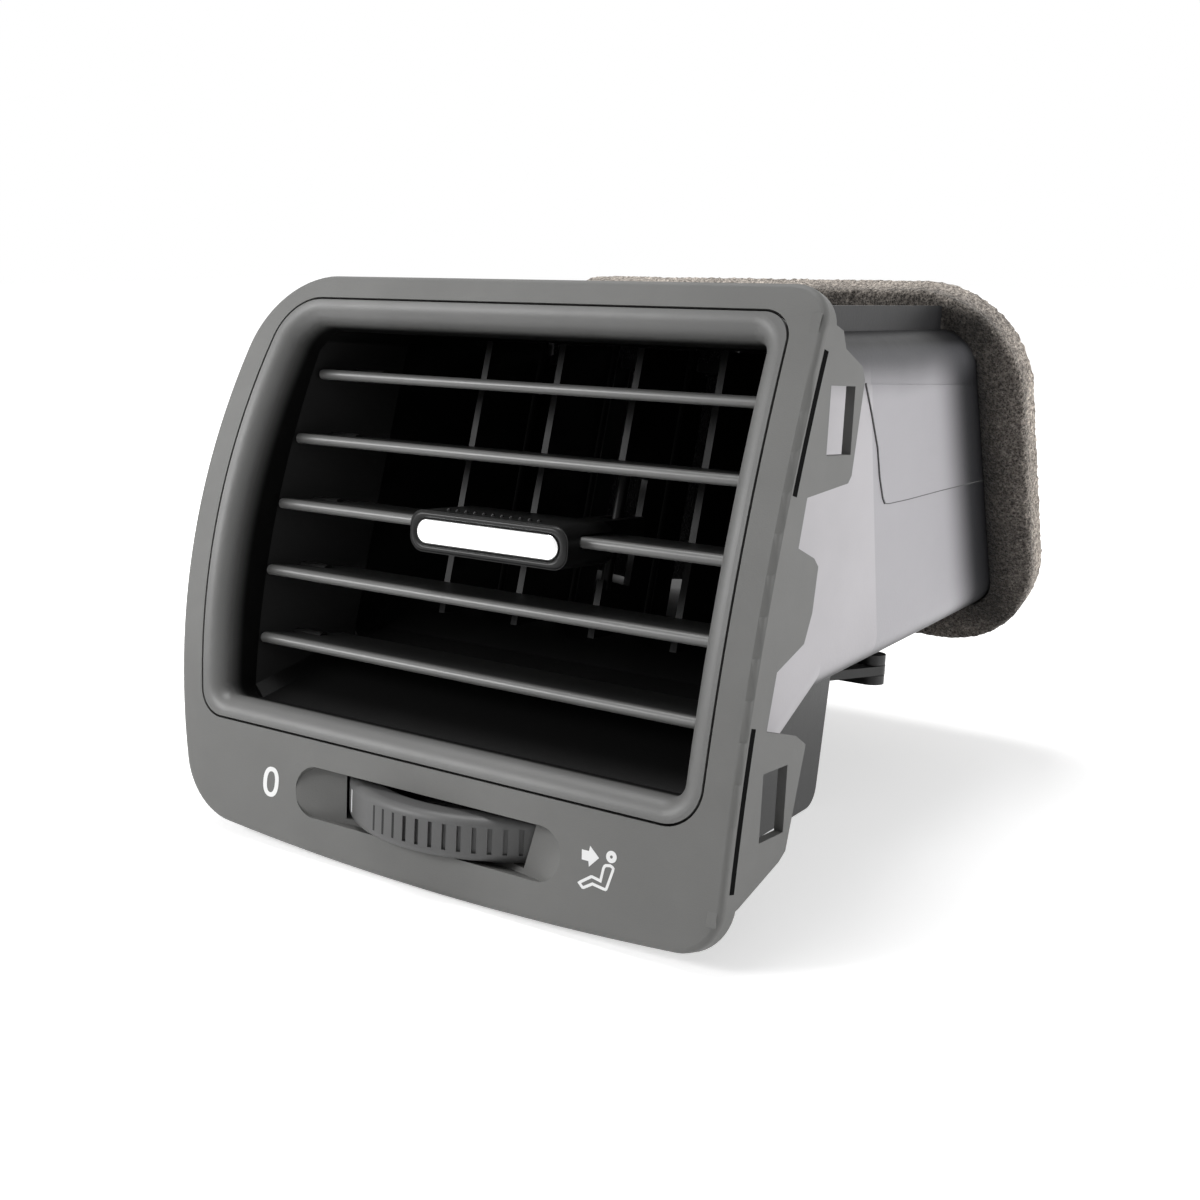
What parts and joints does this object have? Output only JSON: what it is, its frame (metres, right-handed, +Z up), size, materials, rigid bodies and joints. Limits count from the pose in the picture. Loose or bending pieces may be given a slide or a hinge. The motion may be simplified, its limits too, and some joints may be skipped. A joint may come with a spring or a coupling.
{
  "type": "dashboard air vent",
  "caption": "Dashboard air vent with linked tilting slats, swinging vanes, a sliding knob, and a thumbwheel that opens duct flaps.",
  "frame": {"origin": "under the middle of the bounding box, on the surface the vent stands on", "axes": "+Z up, +Y along the duct from the face to the outlet, +X to the right seen from the face"},
  "size_m": [0.1502, 0.164, 0.1194],
  "materials": {
    "face_plastic": "soft-touch charcoal",
    "frame_plastic": "satin charcoal",
    "duct_plastic": "satin black-grey",
    "slat_plastic": "satin black",
    "vane_plastic": "satin black",
    "knob_plastic": "gloss black",
    "wheel_plastic": "knurled black",
    "link_plastic": "smooth black",
    "chrome": "bright chrome",
    "rubber": "soft rubber",
    "foam": "open-cell foam"
  },
  "bodies": {
    "housing": {"bezel": "face_plastic", "inner_frame": "frame_plastic", "vane_carrier": "duct_plastic", "air_duct": "duct_plastic", "foam_gasket": "foam", "wheel_housing": "duct_plastic"},
    "slat_link": {"slat_link": "link_plastic"},
    "vane_link": {"vane_link": "link_plastic"},
    "knob": {"knob_body": "knob_plastic", "knob_trim": "chrome", "knob_damper": "rubber"},
    "wheel": {"thumbwheel": "wheel_plastic"},
    "wheel_link": {"wheel_link": "link_plastic"},
    "flap_tie": {"flap_tie": "link_plastic"},
    "slat_1": {"slat_1": "slat_plastic"},
    "slat_2": {"slat_2": "slat_plastic"},
    "slat_3": {"slat_3": "slat_plastic"},
    "slat_4": {"slat_4": "slat_plastic"},
    "slat_5": {"slat_5": "slat_plastic"},
    "vane_1": {"vane_1": "vane_plastic"},
    "vane_2": {"vane_2": "vane_plastic"},
    "vane_3": {"vane_3": "vane_plastic"},
    "vane_4": {"vane_4": "vane_plastic"},
    "flap_left": {"flap_left": "duct_plastic", "flap_seal_left": "foam", "flap_crank_left": "link_plastic"},
    "flap_right": {"flap_right": "duct_plastic", "flap_seal_right": "foam", "flap_crank_right": "link_plastic"}
  },
  "joints": [
    {"name": "slat_3_tilt", "type": "hinge", "parent": "housing", "child": "slat_3", "pos_m": [-0.00172, -0.0418, 0.06813], "axis": [1, 0, 0], "range_deg": [-20, 20]},
    {"name": "slat_1_tilt", "type": "hinge", "parent": "housing", "child": "slat_1", "pos_m": [-0.00172, -0.05098, 0.03887], "axis": [1, 0, 0], "range_deg": [-20, 20]},
    {"name": "slat_2_tilt", "type": "hinge", "parent": "housing", "child": "slat_2", "pos_m": [-0.00172, -0.04668, 0.05359], "axis": [1, 0, 0], "range_deg": [-20, 20]},
    {"name": "slat_4_tilt", "type": "hinge", "parent": "housing", "child": "slat_4", "pos_m": [-0.00172, -0.03634, 0.08247], "axis": [1, 0, 0], "range_deg": [-20, 20]},
    {"name": "slat_5_tilt", "type": "hinge", "parent": "housing", "child": "slat_5", "pos_m": [-0.00172, -0.0303, 0.09662], "axis": [1, 0, 0], "range_deg": [-20, 20]},
    {"name": "slat_link_pivot", "type": "hinge", "parent": "slat_3", "child": "slat_link", "pos_m": [-0.06642, -0.03632, 0.06763], "axis": [1, 0, 0], "range_deg": [-20, 20]},
    {"name": "knob_slide", "type": "slide", "parent": "slat_3", "child": "knob", "axis": [1, 0, 0], "range_m": [-0.008, 0.008]},
    {"name": "vane_1_swing", "type": "hinge", "parent": "housing", "child": "vane_1", "pos_m": [-0.02577, -0.01027, 0.0644], "axis": [0, 0.3123, 0.95], "range_deg": [-28.2, 28.2]},
    {"name": "vane_2_swing", "type": "hinge", "parent": "housing", "child": "vane_2", "pos_m": [-0.00528, -0.01027, 0.0644], "axis": [0, 0.3123, 0.95], "range_deg": [-28.2, 28.2]},
    {"name": "vane_3_swing", "type": "hinge", "parent": "housing", "child": "vane_3", "pos_m": [0.01523, -0.01027, 0.0644], "axis": [0, 0.3123, 0.95], "range_deg": [-28.2, 28.2]},
    {"name": "vane_4_swing", "type": "hinge", "parent": "housing", "child": "vane_4", "pos_m": [0.03572, -0.01027, 0.0644], "axis": [0, 0.3123, 0.95], "range_deg": [-28.2, 28.2]},
    {"name": "vane_link_pivot", "type": "hinge", "parent": "vane_3", "child": "vane_link", "pos_m": [0.01523, 0.00785, 0.09869], "axis": [0, 0.3123, 0.95], "range_deg": [-28.2, 28.2]},
    {"name": "wheel_turn", "type": "hinge", "parent": "housing", "child": "wheel", "pos_m": [0.00168, -0.04789, 0.01119], "axis": [0, 0.0906, 0.9959], "range_deg": [0, 78]},
    {"name": "flap_left_turn", "type": "hinge", "parent": "housing", "child": "flap_left", "pos_m": [-0.02353, 0.04182, 0.07211], "axis": [0, 0.0906, 0.9959], "range_deg": [0, 78]},
    {"name": "flap_right_turn", "type": "hinge", "parent": "housing", "child": "flap_right", "pos_m": [0.03347, 0.04182, 0.07211], "axis": [0, 0.0906, 0.9959], "range_deg": [0, 78]},
    {"name": "wheel_link_pivot", "type": "hinge", "parent": "wheel", "child": "wheel_link", "pos_m": [0.01427, -0.04732, 0.01746], "axis": [0, 0.0906, 0.9959], "range_deg": [-78, 0]},
    {"name": "flap_tie_pivot", "type": "hinge", "parent": "flap_right", "child": "flap_tie", "pos_m": [0.04607, 0.03755, 0.0251], "axis": [0, 0.0906, 0.9959], "range_deg": [-78, 0]}
  ],
  "couplings": [
    {"joint": "slat_1_tilt", "follows": "slat_3_tilt", "ratio": 1},
    {"joint": "slat_2_tilt", "follows": "slat_3_tilt", "ratio": 1},
    {"joint": "slat_4_tilt", "follows": "slat_3_tilt", "ratio": 1},
    {"joint": "slat_5_tilt", "follows": "slat_3_tilt", "ratio": 1},
    {"joint": "slat_link_pivot", "follows": "slat_3_tilt", "ratio": -1},
    {"joint": "vane_1_swing", "follows": "knob_slide", "rad_per_m": 61.245},
    {"joint": "vane_2_swing", "follows": "knob_slide", "rad_per_m": 61.245},
    {"joint": "vane_3_swing", "follows": "knob_slide", "rad_per_m": 61.245},
    {"joint": "vane_4_swing", "follows": "knob_slide", "rad_per_m": 61.245},
    {"joint": "vane_link_pivot", "follows": "knob_slide", "rad_per_m": -61.245},
    {"joint": "flap_left_turn", "follows": "wheel_turn", "ratio": 1},
    {"joint": "flap_right_turn", "follows": "wheel_turn", "ratio": 1},
    {"joint": "wheel_link_pivot", "follows": "wheel_turn", "ratio": -1},
    {"joint": "flap_tie_pivot", "follows": "wheel_turn", "ratio": -1}
  ]
}
